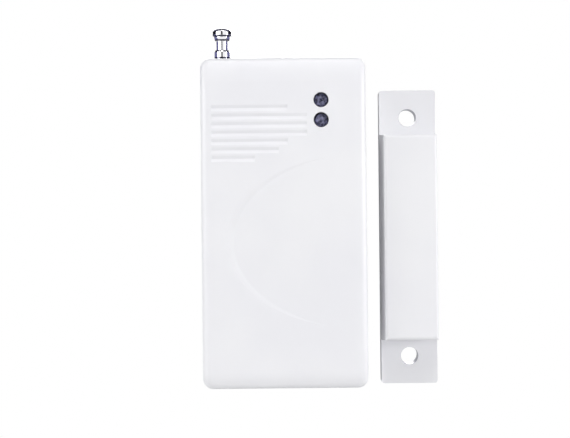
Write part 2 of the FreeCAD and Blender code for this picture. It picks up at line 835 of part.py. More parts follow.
def make_battery_spring():
    pitch = number("(spring_length - spring_wire) / spring_turns")
    wide, narrow = number("spring_wide_radius"), number("spring_narrow_radius")
    wire = number("spring_wire / 2")
    spring = document.addObject("Part::Feature", "battery_spring")
    spring.Shape = wound_wire(wide, pitch, number("spring_turns"), wire, wide - narrow)
    start = Vector(number("spring_wire / 2 - plate_inner"), -number("battery_depth"), number("battery_level"))
    spring.Placement = Placement(start, TO_RIGHT)
    return spring


# Reed switch


def make_reed_glass():
    """A glass tube, sealed round a square wire at both ends."""
    body = new_body("reed_switch_glass", ("reed_across", "-reed_depth", "reed_level"))
    radius, wire = "reed_diameter / 2", "reed_wire / 2"
    sketch = new_sketch(body, "XY")
    draw_circle(sketch, "0", "0", radius)
    draw_circle(sketch, "0", "0", f"{radius} - reed_glass_wall")
    pad(body, sketch, "reed_glass_length", SideType="Symmetric")
    sketch = new_sketch(body, "XY", "reed_glass_length / 2 - reed_seal_length")
    draw_circle(sketch, "0", "0", f"{radius} - reed_glass_wall")
    draw_box(sketch, *square("0", "0", wire))
    seal = pad(body, sketch, "reed_seal_length")
    mirror(body, seal, "XY")
    return body


def make_reeds():
    """Two square wires that turn from the board into the glass, and end in flat blades."""
    body = new_body("reed_switch_reeds")
    half, wire = "reed_blade_width / 2", "reed_wire / 2"
    sides = (f"reed_across - {wire}", f"reed_across + {wire}")
    for side, end in ((1, "reed_low"), (-1, "reed_high")):
        leg = f"{end} - {side} * reed_wire_reach"
        blade_start = f"{end} + {side} * reed_seal_length"
        blade_end = f"reed_level + {side} * reed_blade_overlap / 2"
        sketch = new_sketch(body, "XZ", "lead_tip_depth")
        draw_box(sketch, *square("reed_across", leg, wire))
        pad(body, sketch, f"reed_depth + {wire} - lead_tip_depth")
        sketch = new_sketch(body, "XZ", f"reed_depth - {wire}")
        inside = f"{blade_start} + {side} * reed_wire"
        draw_box(sketch, *sides, *([leg, inside] if side > 0 else [inside, leg]))
        pad(body, sketch, "reed_wire")

        gap = "reed_blade_gap / 2"
        back = f"reed_depth - {gap} - reed_blade_thickness" if side > 0 else f"reed_depth + {gap}"
        sketch = new_sketch(body, "XZ", back)
        levels = [blade_start, blade_end] if side > 0 else [blade_end, blade_start]
        draw_box(sketch, f"reed_across - {half}", f"reed_across + {half}", *levels)
        pad(body, sketch, "reed_blade_thickness")
    return body


# Lamps


def make_lamp(name, level):
    """A 3 mm lamp: the lens with its flange, and its two square leads."""
    flange, radius = "lamp_flange_diameter / 2", "lamp_diameter / 2"
    outline = [("0", "0"), (flange, "0"), (flange, "lamp_flange_height"), (radius, "lamp_flange_height")]
    for angle in DOME_ANGLES:
        rise = f"lamp_length - {radius} + {radius} * sin({angle})"
        outline.append((f"{radius} * cos({angle})", rise))
    outline.append(("0", outline[-1][1]))
    place = ("lamp_across", "-lamp_base_depth", level)
    lens = turned(f"{name}_lens", outline, place=place, turn=TO_FRONT)
    leads = make_posts(f"{name}_leads", lead_pair(level), "lamp_base_depth")
    return [lens, leads]


def lead_pair(level):
    return [(f"lamp_across {side} lead_pitch / 2", level) for side in "-+"]


def make_posts(label, places, top_depth):
    """Square leads from behind the board up to a depth."""
    body = new_body(label)
    sketch = new_sketch(body, "XZ", "lead_tip_depth")
    half = "lead_size / 2"
    for across, level in places:
        draw_box(sketch, *square(across, level, half))
    pad(body, sketch, f"{top_depth} - lead_tip_depth")
    return body


# Parts on the board


def make_chip():
    body = new_body("coding_chip")
    sketch = new_sketch(body, "XZ", "board_front + chip_stand")
    width, length = "chip_width / 2", "chip_length / 2"
    sides = (f"chip_across - {width}", f"chip_across + {width}")
    draw_box(sketch, *sides, f"chip_level - {length}", f"chip_level + {length}")
    pad(body, sketch, "chip_height")
    front = -number("board_front + chip_stand + chip_height")
    chamfer(body, lambda middle, run: middle.y < front + 1e-3, "2 * chip_stand")

    legs = new_body("coding_chip_legs")
    first = "chip_level - chip_leg_pitch * (chip_leg_count - 1) / 2 - chip_leg_width / 2"
    sketch = new_sketch(legs, "XY", first)
    thick = "chip_leg_thickness"
    high = "board_front + chip_stand + chip_height / 2"
    bend = f"{width} + 2 * {thick}"
    tip = f"{width} + chip_leg_reach"
    gull = [
        (width, f"{high} + {thick}"),
        (bend, f"{high} + {thick}"),
        (bend, f"board_front + {thick}"),
        (tip, f"board_front + {thick}"),
        (tip, "board_front"),
        (f"{bend} - {thick}", "board_front"),
        (f"{bend} - {thick}", high),
        (width, high),
    ]
    for side in ("+", "-"):
        draw(sketch, [(f"chip_across {side} ({across})", f"-({depth})") for across, depth in gull])
    leg = pad(legs, sketch, "chip_leg_width")
    pattern(legs, leg, "Z", "chip_leg_pitch * (chip_leg_count - 1)", "chip_leg_count")
    return [body, legs]


def code_square(column, row, half):
    """Sides of a square round one code pin. Columns run from -1 to 1, and rows from the bottom."""
    across = f"code_across + {column} * code_pin_pitch"
    level = f"code_level + ({row} - (code_pin_count - 1) / 2) * code_pin_pitch"
    return square(across, level, half)


def make_code_pins():
    """Three columns of pins in a moulded base, and caps that each join two pins of a row."""
    rows = range(round(number("code_pin_count")))
    half = "code_pin_size / 2"
    base, pins, caps = (new_body(f"code_{name}") for name in ("pin_base", "pins", "jumper_caps"))

    sketch = new_sketch(base, "XZ", "board_front")
    width, length = "code_pin_pitch * 1.5", "code_pin_pitch * code_pin_count / 2"
    sides = (f"code_across - {width}", f"code_across + {width}")
    draw_box(sketch, *sides, f"code_level - {length}", f"code_level + {length}")
    pin_sketch = new_sketch(pins, "XZ", "board_front")
    for row in rows:
        for column in (-1, 0, 1):
            for each in (sketch, pin_sketch):
                draw_box(each, *code_square(column, row, half))
    pad(base, sketch, "code_base_height")
    pad(pins, pin_sketch, "code_pin_height")

    sketch = new_sketch(caps, "XZ", "board_front + code_base_height")
    for row in rows:
        column = -1 if row % 3 == 0 else 0
        left, _, low, high = code_square(column, row, "(code_pin_pitch / 2 - fit_gap)")
        _, right, _, _ = code_square(column + 1, row, "(code_pin_pitch / 2 - fit_gap)")
        draw_box(sketch, left, right, low, high)
        for each in (column, column + 1):
            draw_box(sketch, *code_square(each, row, f"({half} + screw_gap)"))
    pad(caps, sketch, "code_cap_height")
    return [base, pins, caps]


def make_can():
    radius = "can_diameter / 2"
    outline = [("0", "0"), (radius, "0"), (radius, "can_height"), ("0", "can_height")]
    place = ("can_across", "-board_front", "can_level")
    return turned("resonator_can", outline, place=place, turn=TO_FRONT)


def make_transistor():
    body = new_body("transistor")
    sketch = new_sketch(body, "XZ", "board_front + transistor_leg_length")
    radius = "transistor_diameter / 2"
    chord = f"sqrt(({radius}) ^ 2 - ({radius} / 2) ^ 2)"
    flat = f"transistor_level - {radius} / 2"
    points = [(f"transistor_across - {chord}", flat), (f"~transistor_across + {chord}", flat)]
    draw(sketch, points, {1: ("transistor_across", "transistor_level", 1)})
    pad(body, sketch, "transistor_height")
    legs = make_posts("transistor_legs", TRANSISTOR_LEGS, "(board_front + transistor_leg_length)")
    return [body, legs]


def make_capacitor():
    radius = "capacitor_diameter / 2"
    outline = [("0", "0"), (radius, "0"), (radius, "capacitor_height"), ("0", "capacitor_height")]
    place = ("capacitor_across", "-board_front", "capacitor_level")
    return turned("electrolytic_capacitor", outline, place=place, turn=TO_FRONT)


def make_coil():
    """A coil of bare wire that lies along X, with a short leg down to the board at each end."""
    wire, radius = number("coil_wire / 2"), number("coil_radius")
    height = number("coil_pitch * coil_turns")
    shape = wound_wire(radius, number("coil_pitch"), number("coil_turns"), wire)
    lift = 2 * wire
    for end in (0.0, height):
        foot = Part.makeBox(lift + wire, 2 * wire, 2 * wire, Vector(radius - wire, -wire, end - wire))
        shape = shape.fuse(foot)
    coil = document.addObject("Part::Feature", "aerial_coil")
    coil.Shape = shape
    depth = number("board_front + coil_radius") + lift
    start = Vector(number("coil_across") - height / 2, -depth, number("coil_level"))
    coil.Placement = Placement(start, TO_RIGHT * Rotation(Vector(0, 0, 1), 90))
    return coil


def make_chip_parts(label, places):
    body = new_body(label)
    sketch = new_sketch(body, "XZ", "board_front")
    length, width = "chip_part_length / 2", "chip_part_width / 2"
    for across, level in places:
        sides = (f"{across} - {length}", f"{across} + {length}")
        draw_box(sketch, *sides, f"{level} - {width}", f"{level} + {width}")
    pad(body, sketch, "chip_part_height")
    return body


# Telescopic aerial, turned round its own axis


def turned_on_aerial(label, outline):
    return turned(label, outline, ("aerial_across", "-seam_depth", "0"))


def make_base_tube():
    inner = "base_radius - tube_wall"
    mouth = "middle_radius + running_gap"
    shoulder = "base_top - shoulder_height"
    outline = [
        (inner, "tube_foot"),
        ("base_radius", "tube_foot"),
        ("base_radius", shoulder),
        (f"{mouth} + tube_wall", "base_top"),
        (mouth, "base_top"),
        (mouth, shoulder),
        (inner, shoulder),
    ]
    return turned_on_aerial("aerial_base_tube", outline)


def make_middle_tube():
    inner = "middle_radius - tube_wall"
    mouth = "tip_radius + running_gap"
    collar = "base_radius - tube_wall - running_gap"
    outline = [
        (inner, "tube_foot"),
        (collar, "tube_foot"),
        (collar, "tube_foot + collar_height"),
        ("middle_radius", "tube_foot + collar_height"),
        ("middle_radius", "middle_top"),
        (mouth, "middle_top"),
        (mouth, "middle_top - slide_stop_thickness"),
        (inner, "middle_top - slide_stop_thickness"),
    ]
    return turned_on_aerial("aerial_middle_tube", outline)


def make_tip_rod():
    collar = "middle_radius - tube_wall - running_gap"
    foot = "(tube_foot + slide_stop_thickness)"
    outline = [
        ("0", foot),
        (collar, foot),
        (collar, f"{foot} + collar_height"),
        ("tip_radius", f"{foot} + collar_height"),
        ("tip_radius", "middle_top"),
        ("0", "middle_top"),
    ]
    return turned_on_aerial("aerial_tip_rod", outline)


def make_grip(label, inner, outer, foot):
    """A springy sleeve, slit along its length, that holds a section where it is pulled to."""
    low = f"{foot} + collar_height"
    high = f"{low} + grip_length"
    body = turned_on_aerial(label, [(inner, low), (outer, low), (outer, high), (inner, high)])
    sketch = new_sketch(body, "XY", high)
    draw_box(sketch, "0", "base_radius", "-tube_wall", "tube_wall")
    pocket(body, sketch, "2 * grip_length")
    return body


def make_knob():
    """Turned knob: a cone that rests on the middle tube, and a wider cap whose top narrows."""
    radius, top = "knob_diameter / 2", "knob_top_diameter / 2"
    edge = "middle_top + knob_cone_height"
    shoulder = f"{edge} + knob_edge_height"
    crown = "middle_top + knob_height"
    outline = [
        ("0", "middle_top"),
        ("middle_radius", "middle_top"),
        ("knob_cone_diameter / 2", edge),
        (radius, edge),
        (radius, shoulder),
        (top, crown),
        ("0", crown),
    ]
    return turned_on_aerial("aerial_knob", outline)


def make_bracket():
    """An angle under the base tube: the leaf carries the tube, and the foot is screwed down."""
    body = new_body("aerial_bracket")
    sketch = new_sketch(body, "XZ", "board_front")
    sides = ("-board_half_width", "bracket_width - board_half_width")
    leaf = "tube_foot - bracket_thickness"
    draw_box(sketch, *sides, f"{leaf} - bracket_foot_length", "tube_foot")
    pad(body, sketch, "bracket_thickness")
    sketch = new_sketch(body, "XZ", "board_front")
    draw_box(sketch, *sides, leaf, "tube_foot")
    pad(body, sketch, "seam_depth + base_radius - board_front")
    sketch = new_sketch(body, "XZ", "board_front + bracket_thickness")
    draw_circle(sketch, "aerial_screw_across", "aerial_screw_level", "screw_diameter / 2 + fit_gap")
    pocket(body, sketch, "2 * bracket_thickness")
    return body


# Magnet half


def magnet_sides(width, length):
    """Sides of a box centred on the magnet half, seen from the front."""
    across = (f"magnet_across - ({width}) / 2", f"magnet_across + ({width}) / 2")
    return (*across, f"-magnet_drop - ({length}) / 2", f"-magnet_drop + ({length}) / 2")


def make_magnet_housing():
    body = new_body("magnet_housing")
    sketch = new_sketch(body, "XZ")
    draw_rounded_box(sketch, *magnet_sides("magnet_width", "magnet_length"), "flange_corner_radius")
    pad(body, sketch, "flange_depth")

    sketch = new_sketch(body, "XY", "-magnet_drop")
    left, right, low, high = magnet_sides("magnet_width", "magnet_body_length")
    lean = "(magnet_depth - flange_depth) * tan(magnet_draft)"
    points = [(left, "-flange_depth"), (f"{left} + {lean}", "-magnet_depth")]
    points += [(f"{right} - {lean}", "-magnet_depth"), (right, "-flange_depth")]
    draw(sketch, points)
    pad(body, sketch, "magnet_body_length", SideType="Symmetric")

    sketch = new_sketch(body, "YZ", "magnet_across")
    far = "-(flange_depth + 2 * magnet_depth)"
    for end, inwards in ((low, "+"), (high, "-")):
        slope = f"{inwards} {lean} * 2 * magnet_depth / (magnet_depth - flange_depth)"
        outer = f"{end} {'-' if inwards == '+' else '+'} flange_depth"
        foot = "-flange_depth"
        draw(sketch, [(foot, end), (far, f"{end} {slope}"), (far, outer), (foot, outer)])
    pocket(body, sketch, "2 * magnet_width", SideType="Symmetric")
    front = -number("magnet_depth")
    fillet(body, lambda middle, run: middle.y < front + 1e-3, "magnet_edge_radius")

    sketch = new_sketch(body, "XZ")
    draw_box(sketch, *magnet_sides("bar_width + 2 * bar_gap", "bar_length + 2 * bar_gap"))
    pocket(body, sketch, "back_plate_thickness + bar_depth", Reversed=True)
    sketch = new_sketch(body, "XZ")
    margin = "2 * (back_plate_margin + fit_gap)"
    draw_box(sketch, *magnet_sides(f"bar_width + {margin}", f"bar_length + {margin}"))
    pocket(body, sketch, "back_plate_thickness", Reversed=True)

    sketch = new_sketch(body, "XZ")
    for side in ("-", "+"):
        level = f"-magnet_drop {side} magnet_hole_pitch / 2"
        draw_circle(sketch, "magnet_across", level, "magnet_hole / 2")
    pocket(body, sketch, "2 * flange_depth", Reversed=True)
    return body


def make_bar_magnet():
    body = new_body("bar_magnet")
    sketch = new_sketch(body, "XZ", "back_plate_thickness")
    draw_box(sketch, *magnet_sides("bar_width", "bar_length"))
    pad(body, sketch, "bar_depth")
    chamfer(body, lambda middle, run: abs(run.y) > 1e-3, "2 * bar_gap")
    return body


def make_back_plate():
    body = new_body("magnet_back_plate")
    sketch = new_sketch(body, "XZ")
    margin = "2 * back_plate_margin"
    draw_box(sketch, *magnet_sides(f"bar_width + {margin}", f"bar_length + {margin}"))
    pad(body, sketch, "back_plate_thickness")
    return body


def group(label, pieces):
    """Like pieces that share one node, as separate solids."""
    item = document.addObject("Part::Compound", label)
    item.Label = label
    item.Links = pieces
    return item


SCREW_PLACES = (
    ("low_screw_across", "low_screw_level"),
    ("-high_screw_across", "high_screw_level"),
    ("aerial_screw_across", "aerial_screw_level"),
)
TRANSISTOR_LEGS = [
    (f"transistor_across + {step} * lead_pitch / 2", "transistor_level") for step in (-1, 0, 1)
]
REED_LEGS = [
    ("reed_across", "reed_low - reed_wire_reach"),
    ("reed_across", "reed_high + reed_wire_reach"),
]
LAMP_LEADS = lead_pair("lamp_upper_level") + lead_pair("lamp_lower_level")
LEAD_PLACES = LAMP_LEADS + TRANSISTOR_LEGS + REED_LEGS
above_chip = "chip_level + chip_length / 2 + chip_part_gap"
beside_lamp = "lamp_across + lamp_flange_diameter / 2 + chip_part_length"
beside_coil = "coil_across - coil_radius - chip_part_pitch"
RESISTOR_PLACES = [
    (beside_lamp, "lamp_upper_level"),
    (beside_lamp, "lamp_lower_level"),
    ("chip_across", above_chip),
    ("chip_across + chip_part_pitch", above_chip),
]
SMALL_CAPACITOR_PLACES = [
    (beside_coil, "coil_level - chip_part_gap"),
    (beside_coil, "coil_level + chip_part_gap"),
    ("coil_across", "transistor_level"),
]

aerial_inside = ("middle_radius", "base_radius - tube_wall - running_gap", "tube_foot")
rod_inside = (
    "tip_radius",
    "middle_radius - tube_wall - running_gap",
    "tube_foot + slide_stop_thickness",
)
pieces = [
    make_front_cover(),
    make_back_cover(),
    make_board(),
    make_screws(),
    make_battery(),
    make_plate("battery_plate_positive", 1),
    make_plate("battery_plate_negative", -1),
    make_battery_spring(),
    make_reed_glass(),
    make_reeds(),
    *make_lamp("upper_lamp", "lamp_upper_level"),
    *make_lamp("lower_lamp", "lamp_lower_level"),
    *make_chip(),
    *make_code_pins(),
    make_can(),
    *make_transistor(),
    make_capacitor(),
    make_coil(),
    make_chip_parts("chip_resistors", RESISTOR_PLACES),
    make_chip_parts("chip_capacitors", SMALL_CAPACITOR_PLACES),
    make_base_tube(),
    make_bracket(),
    make_middle_tube(),
    make_grip("aerial_middle_grip", *aerial_inside),
    make_tip_rod(),
    make_grip("aerial_tip_grip", *rod_inside),
    make_knob(),
    make_magnet_housing(),
    make_bar_magnet(),
    make_back_plate(),
]

document.recompute()
for item in document.Objects:
    if "Invalid" in item.State or "Error" in item.State:
        raise RuntimeError(f"{item.Label} failed: {item.State}")
for piece in pieces:
    if piece.Shape.isNull() or not piece.Shape.isValid() or not piece.Shape.Solids:
        raise RuntimeError(f"{piece.Label} has no valid solid")
os.makedirs("parts", exist_ok=True)
for piece in pieces:
    piece.Shape.exportStep(f"parts/{piece.Label}.step")
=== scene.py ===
import json
import math

import bpy
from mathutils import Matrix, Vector


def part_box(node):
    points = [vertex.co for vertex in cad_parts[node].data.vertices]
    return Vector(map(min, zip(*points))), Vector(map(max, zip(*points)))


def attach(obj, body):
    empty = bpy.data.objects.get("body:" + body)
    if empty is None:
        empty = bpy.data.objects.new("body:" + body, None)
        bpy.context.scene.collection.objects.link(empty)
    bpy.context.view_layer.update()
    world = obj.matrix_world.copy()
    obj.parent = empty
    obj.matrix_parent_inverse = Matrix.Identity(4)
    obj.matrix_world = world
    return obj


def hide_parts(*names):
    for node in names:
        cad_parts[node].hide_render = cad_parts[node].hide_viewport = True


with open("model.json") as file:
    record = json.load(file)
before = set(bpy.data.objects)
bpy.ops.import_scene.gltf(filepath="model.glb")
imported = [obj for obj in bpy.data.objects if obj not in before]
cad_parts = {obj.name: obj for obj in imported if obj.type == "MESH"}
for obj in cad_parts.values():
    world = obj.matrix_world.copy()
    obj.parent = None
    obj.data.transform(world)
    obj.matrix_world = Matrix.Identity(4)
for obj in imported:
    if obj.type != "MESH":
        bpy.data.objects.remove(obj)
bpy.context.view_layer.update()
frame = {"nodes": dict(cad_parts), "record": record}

# Looks of a wireless magnetic door contact: transmitter, telescopic aerial and magnet.
# Everything is in metres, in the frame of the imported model: X right, Z up, the faces look along -Y.

MM = 0.001
QUARTER = math.pi / 2

# Turned pieces: sides of the circle, steps of a quarter arc, and the tip's flat as a share of the radius
TURN_SIDES = 64
DOME_STEPS = 14
FOOT_STEPS = 8
TIP_SHARE = 0.02

# Lens of a lamp, from the back of its flange
LAMP_BARREL = 1.5 * MM
LAMP_FLANGE = 1.0 * MM
LAMP_LENGTH = 5.3 * MM
LAMP_EDGE = 0.08 * MM

# Lead frame in a lamp: square posts whose necks lean inwards by a share of their distance
POST_HALF = 0.2 * MM
POST_FOOT = 0.2 * MM
POST_STEM = 1.3 * MM
POST_NECK = 0.25 * MM
POST_LEAN = 0.55
POST_EDGE = 0.03 * MM
LAMP_LEAD = 1.27 * MM

# Heads of the two posts: place across, level of the top, and half width
LEAD_HEADS = (
    (-LAMP_LEAD, 3.0 * MM, 0.62 * MM),
    (LAMP_LEAD, 2.8 * MM, 0.3 * MM),
)

# Cup in a head, as shares of its half width
CUP_RIM = 0.35
CUP_DEPTH = 0.4

# Knob of the aerial: radii of its bulged foot, and the round crown
KNOB_FOOT = 1.25 * MM
KNOB_CONE = 1.75 * MM
KNOB_CONE_HEIGHT = 1.1 * MM
KNOB_CROWN = 1.05 * MM
KNOB_RIM = 0.12 * MM
KNOB_EDGE = 0.05 * MM

# Dark marks: half widths, how much of one is fully dark, and the foot line's height above the case. The
# lines on the chrome are painted shade and painted dark reflection, the hole walls painted shade
PAINTED_LINE_HALF = 0.22 * MM
PARTING_LINE = 0.05 * MM
HOLE_RIM = 0.06 * MM
MARK_CORE = 0.4
FOOT_LINE = 0.7 * MM
# Colour of the painted shade lines on the chrome
PAINTED_LINE_SHADE = (0.03, 0.03, 0.06)
PARTING_SHADE = (0.2, 0.2, 0.22)
# Colour of the painted shade on the walls of the magnet's screw holes
HOLE_SHADE = (0.24, 0.24, 0.32)

# Grain of the plain finishes: patterns to the millimetre, depth, and how dark its low parts are
PLAIN_GRAIN = 3.0
PLAIN_DEPTH = 0.003 * MM
PLAIN_DARK = 0.88

# The camera stands straight in front of the pair
CAMERA_PLACE = Vector((0.16, -330.0, 0.85)) * MM
CAMERA_ROLL = math.radians(0.58)
CAMERA_LENS = 94.4
SENSOR_WIDTH = 36.0

# Lamps: name, place, size and power in watts. They aim at one point between the two halves
LAMP_AIM = Vector((8, -10, 0)) * MM
LAMPS = (
    ("front_lamp", (0.1, -1.2, 0.15), 0.7, 2.8),
    ("high_lamp", (0, -0.3, 0.9), 0.4, 3.4),
    ("key_lamp", (0.12, -0.75, 0.75), 0.4, 1.2),
    ("left_lamp", (-0.75, -0.75, 0.1), 0.4, 1.4),
    ("left_edge_lamp", (-0.95, -0.3, 0.1), 0.4, 3.3),
    ("right_edge_lamp", (0.95, -0.3, 0.1), 0.4, 4.9),
    ("back_lamp", (0.1, 1.1, 0.4), 0.6, 6.0),
)
SKY_TINT = (0.93, 0.94, 1.0)
SKY_LEVEL = 0.08

# Cards that the chrome reflects: level of the foot, height, reach towards the front, and tint
AERIAL_CARDS = (
    ("low", 30 * MM, 11 * MM, 5.5 * MM, (0.17, 0.17, 0.32)),
    ("knob", 41 * MM, 6 * MM, 6 * MM, (0.004, 0.004, 0.01)),
    ("tall", 47 * MM, 143 * MM, 9 * MM, (0.12, 0.12, 0.17)),
)
CARD_ASIDE = 12 * MM
CARD_BEHIND = 18 * MM
CEILING_LEVEL = 200 * MM
CEILING_SIZE = 170 * MM
STAND_AHEAD = 800 * MM
STAND_LEVEL = 100 * MM
STAND_WIDTH = 260 * MM
STAND_HEIGHT = 1400 * MM
GAP_CARD_BACK = 1 * MM
GAP_CARD_HEIGHT = 80 * MM

# The floor fades to white between two distances from the pair
FLOOR_LEVEL = -60 * MM
FLOOR_SIZE = 6.0
FLOOR_COLOUR = (0.8, 0.8, 0.8)
FLOOR_FADE_START = 0.05
FLOOR_FADE_END = 0.1


# Working with objects


def deselect():
    if bpy.context.object and bpy.context.object.mode != "OBJECT":
        bpy.ops.object.mode_set(mode="OBJECT")
    bpy.ops.object.select_all(action="DESELECT")


def activate(piece):
    deselect()
    piece.select_set(True)
    bpy.context.view_layer.objects.active = piece


def edit(piece):
    activate(piece)
    bpy.ops.object.mode_set(mode="EDIT")
    bpy.ops.mesh.select_all(action="SELECT")


def leave_edit():
    bpy.ops.object.mode_set(mode="OBJECT")


def settle(piece):
    """Moves the object's place, turn and scale into its mesh."""
    activate(piece)
    bpy.ops.object.transform_apply(location=True, rotation=True, scale=True)


def extrude(x, y, z):
    """Extrudes what is selected in edit mode by a distance along each axis."""
    bpy.ops.mesh.extrude_region_move(TRANSFORM_OT_translate={"value": (x, y, z)})


def turn_outline(name, outline):
    """Turns an outline of (radius, height) about the Z axis, from its foot up to its tip."""
    radius, height = outline[0]
    deselect()
    bpy.ops.mesh.primitive_circle_add(
        vertices=TURN_SIDES, radius=radius, fill_type="NGON", location=(0, 0, height)
    )
    piece = bpy.context.object
    piece.name = name
    settle(piece)
    edit(piece)
    for next_radius, next_height in outline[1:]:
        extrude(0, 0, next_height - height)
        spread = next_radius / radius
        bpy.ops.transform.resize(value=(spread, spread, 1), center_override=(0, 0, next_height))
        radius, height = next_radius, next_height
    bpy.ops.mesh.select_all(action="SELECT")
    bpy.ops.mesh.normals_make_consistent(inside=False)
    leave_edit()
    return piece


def round_edges(piece, width, segments, angle):
    """Rounds the edges that turn more than an angle in degrees."""
    activate(piece)
    bevel = piece.modifiers.new("round", "BEVEL")
    bevel.width = width
    bevel.segments = segments
    bevel.limit_method = "ANGLE"
    bevel.angle_limit = math.radians(angle)
    bpy.ops.object.modifier_apply(modifier=bevel.name)


def smooth(piece, angle=40):
    """Shades smooth over the edges that turn less than an angle in degrees."""
    activate(piece)
    bpy.ops.object.shade_smooth_by_angle(angle=math.radians(angle))


def select_faces(piece, wanted):
    """Selects the faces that a test picks, in edit mode, and nothing else."""
    bpy.ops.mesh.select_all(action="DESELECT")
    leave_edit()
    for face in piece.data.polygons:
        face.select = wanted(face)
    bpy.ops.object.mode_set(mode="EDIT")


def give_material(piece, material):
    piece.data.materials.clear()
    piece.data.materials.append(material)


def middle_of(node):
    low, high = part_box(node)
    return (Vector(low) + Vector(high)) / 2


# Making materials


def shader_of(material):
    return material.node_tree.nodes["Principled BSDF"]


def new_material(name, colour, roughness, metallic=0.0):
    """A material with its shader at plain values."""
    material = bpy.data.materials.new(name)
    material.use_nodes = True
    shader = shader_of(material)
    shader.inputs["Base Color"].default_value = (*colour, 1)
    shader.inputs["Roughness"].default_value = roughness
    shader.inputs["Metallic"].default_value = metallic
    return material


def add(material, kind, **values):
    """Adds a shader node. A value goes to the input of its name, or else to the node's setting."""
    node = material.node_tree.nodes.new(f"ShaderNode{kind}")
    for name, value in values.items():
        entry = name.replace("_", " ")
        if entry in node.inputs:
            node.inputs[entry].default_value = value
        else:
            setattr(node, name, value)
    return node


def join(material, source, output, target, entry):
    material.node_tree.links.new(source.outputs[output], target.inputs[entry])


def add_noise(material, scale, detail=3.0):
    """Noise over the object's own coordinates. scale is in patterns to the millimetre."""
    place = add(material, "TexCoord")
    noise = add(material, "TexNoise", Scale=scale / MM, Detail=detail)
    join(material, place, "Object", noise, "Vector")
    return noise


def add_bump(material, pattern, height, strength, output="Fac"):
    """Bump from a pattern. height is in metres."""
    bump = add(material, "Bump", Strength=strength, Distance=height)
    join(material, pattern, output, bump, "Height")
    join(material, bump, "Normal", shader_of(material), "Normal")


def vary_colour(material, pattern, low, high, start=0.35, end=0.65, output="Fac"):
    """Runs the base colour from one colour to another between two values of a pattern."""
    ramp = add(material, "ValToRGB")
    for stop, position, colour in zip(ramp.color_ramp.elements, (start, end), (low, high)):
        stop.position = position
        stop.color = (*colour, 1)
    join(material, pattern, output, ramp, "Fac")
    join(material, ramp, "Color", shader_of(material), "Base Color")
    return ramp


def vary_roughness(material, noise, low, high):
    spread = add(material, "MapRange", To_Min=low, To_Max=high)
    join(material, noise, "Fac", spread, "Value")
    join(material, spread, "Result", shader_of(material), "Roughness")


def near_plane(material, axis, level, reach):
    """1 on a level along an axis, falling to 0 within a reach either side."""
    place = add(material, "TexCoord")
    split = add(material, "SeparateXYZ")
    join(material, place, "Object", split, "Vector")
    away = add(material, "Math", operation="SUBTRACT")
    join(material, split, axis, away, 0)
    away.inputs[1].default_value = level
    size = add(material, "Math", operation="ABSOLUTE")
    join(material, away, "Value", size, 0)
    fall = add(material, "MapRange", From_Min=MARK_CORE * reach, From_Max=reach, To_Min=1.0, To_Max=0.0)
    join(material, size, "Value", fall, "Value")
    return fall


def near_axis(material, axis, radius, reach):
    """1 inside a radius about an axis along Y, falling to 0 within a reach outside it."""
    place = add(material, "TexCoord")
    flat = add(material, "Mapping", Location=(-axis.x, 0, -axis.z), Scale=(1, 0, 1))
    join(material, place, "Object", flat, "Vector")
    away = add(material, "VectorMath", operation="LENGTH")
    join(material, flat, "Vector", away, 0)
    fall = add(material, "MapRange", From_Min=radius, From_Max=radius + reach, To_Min=1.0, To_Max=0.0)
    join(material, away, "Value", fall, "Value")
    return fall


def shade_where(material, marks, shade):
    """Tints the base colour towards a shade where any of the marks is 1."""
    base = shader_of(material).inputs["Base Color"]
    for mark in marks:
        colour = base.links[0].from_socket
        mixed = add(material, "MixRGB", Color2=(*shade, 1))
        join(material, mark, "Result", mixed, "Fac")
        material.node_tree.links.new(colour, mixed.inputs["Color1"])
        material.node_tree.links.new(mixed.outputs["Color"], base)


# Finishes of the pieces


def make_case_plastic(name):
    """White moulded ABS with a fine spark-eroded texture and a faint unevenness."""
    material = new_material(name, (0.84, 0.84, 0.865), 0.35)
    shader_of(material).inputs["Specular IOR Level"].default_value = 0.45
    broad = add_noise(material, 0.045, 2.0)
    vary_colour(material, broad, (0.83, 0.83, 0.86), (0.86, 0.86, 0.88))
    grain = add_noise(material, 5.0, 4.0)
    vary_roughness(material, grain, 0.3, 0.4)
    add_bump(material, grain, 0.004 * MM, 0.4)
    return material


def make_transmitter_plastic():
    """The same moulding with a thin dark line where front and back cover meet."""
    material = make_case_plastic("transmitter_abs")
    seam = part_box("front_cover")[1][1]
    shade_where(material, [near_plane(material, "Y", seam, PARTING_LINE)], PARTING_SHADE)
    return material


def make_magnet_plastic():
    """The magnet's moulding, with painted shade on the walls of its two screw holes."""
    material = make_case_plastic("magnet_abs")
    screws = next(mount for mount in frame["record"]["mounts"] if mount["name"] == "magnet_screws")
    radius = screws["dims"]["hole_r_mm"] * MM
    half_pitch = Vector((0, 0, screws["dims"]["spacing_y_mm"] / 2 * MM))
    axes = [Vector(screws["pos_m"]) + sign * half_pitch for sign in (-1, 1)]
    # Painted shade: the hole walls are darkened in their colour
    marks = [near_axis(material, axis, radius, HOLE_RIM) for axis in axes]
    shade_where(material, marks, HOLE_SHADE)
    return material


def make_chrome(name):
    """Bright chrome plate with faint lengthwise drawing marks."""
    material = new_material(name, (0.92, 0.92, 0.94), 0.08, 1.0)
    place = add(material, "TexCoord")
    stretch = add(material, "Mapping", Scale=(1, 1, 0.02))
    marks = add(material, "TexNoise", Scale=9.0 / MM, Detail=3.0)
    join(material, place, "Object", stretch, "Vector")
    join(material, stretch, "Vector", marks, "Vector")
    vary_roughness(material, marks, 0.04, 0.12)
    vary_colour(material, marks, (0.88, 0.88, 0.91), (0.94, 0.94, 0.96))
    add_bump(material, marks, 0.0015 * MM, 0.4)
    return material


def make_chrome_with_painted_lines(name, levels):
    """The same plate with dark lines painted round it at some levels: painted shade and painted dark
    reflection, as in its crevices.
    """
    material = make_chrome(name)
    marks = [near_plane(material, "Z", level, PAINTED_LINE_HALF) for level in levels]
    shade_where(material, marks, PAINTED_LINE_SHADE)
    return material


